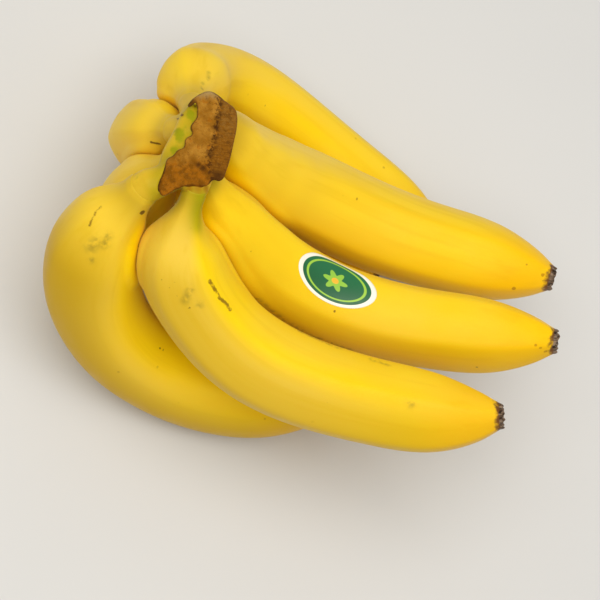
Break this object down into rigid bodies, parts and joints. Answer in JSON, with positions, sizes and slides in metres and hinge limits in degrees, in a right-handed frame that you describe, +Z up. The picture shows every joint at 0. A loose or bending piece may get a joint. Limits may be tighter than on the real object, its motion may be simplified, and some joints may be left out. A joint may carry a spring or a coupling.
{
  "type": "banana bunch",
  "caption": "Bunch of ripe yellow bananas joined at one brown cut crown, lying on its outer row with curved fingers fanning out to dark dried tips, one with an oval paper label.",
  "frame": {"origin": "under the middle of the bunch's bounding box, on the table it lies on", "axes": "+Z up, +X from the crown to the tips along the longest extent, +Y towards the back banana"},
  "size_m": [0.2328, 0.1974, 0.1337],
  "materials": {
    "peel": "smooth waxy skin with a soft sheen",
    "crown": "dry, fibrous and matt",
    "label": "coated paper, half gloss"
  },
  "bodies": {
    "root": {"crown": "crown", "banana_back": "peel", "banana_top_row_back": "peel", "banana_top_row_middle": "peel", "banana_top_row_front": "peel", "banana_front": "peel", "banana_bottom_row_back": "peel", "banana_bottom_row_middle": "peel", "label": "label"}
  },
  "joints": []
}
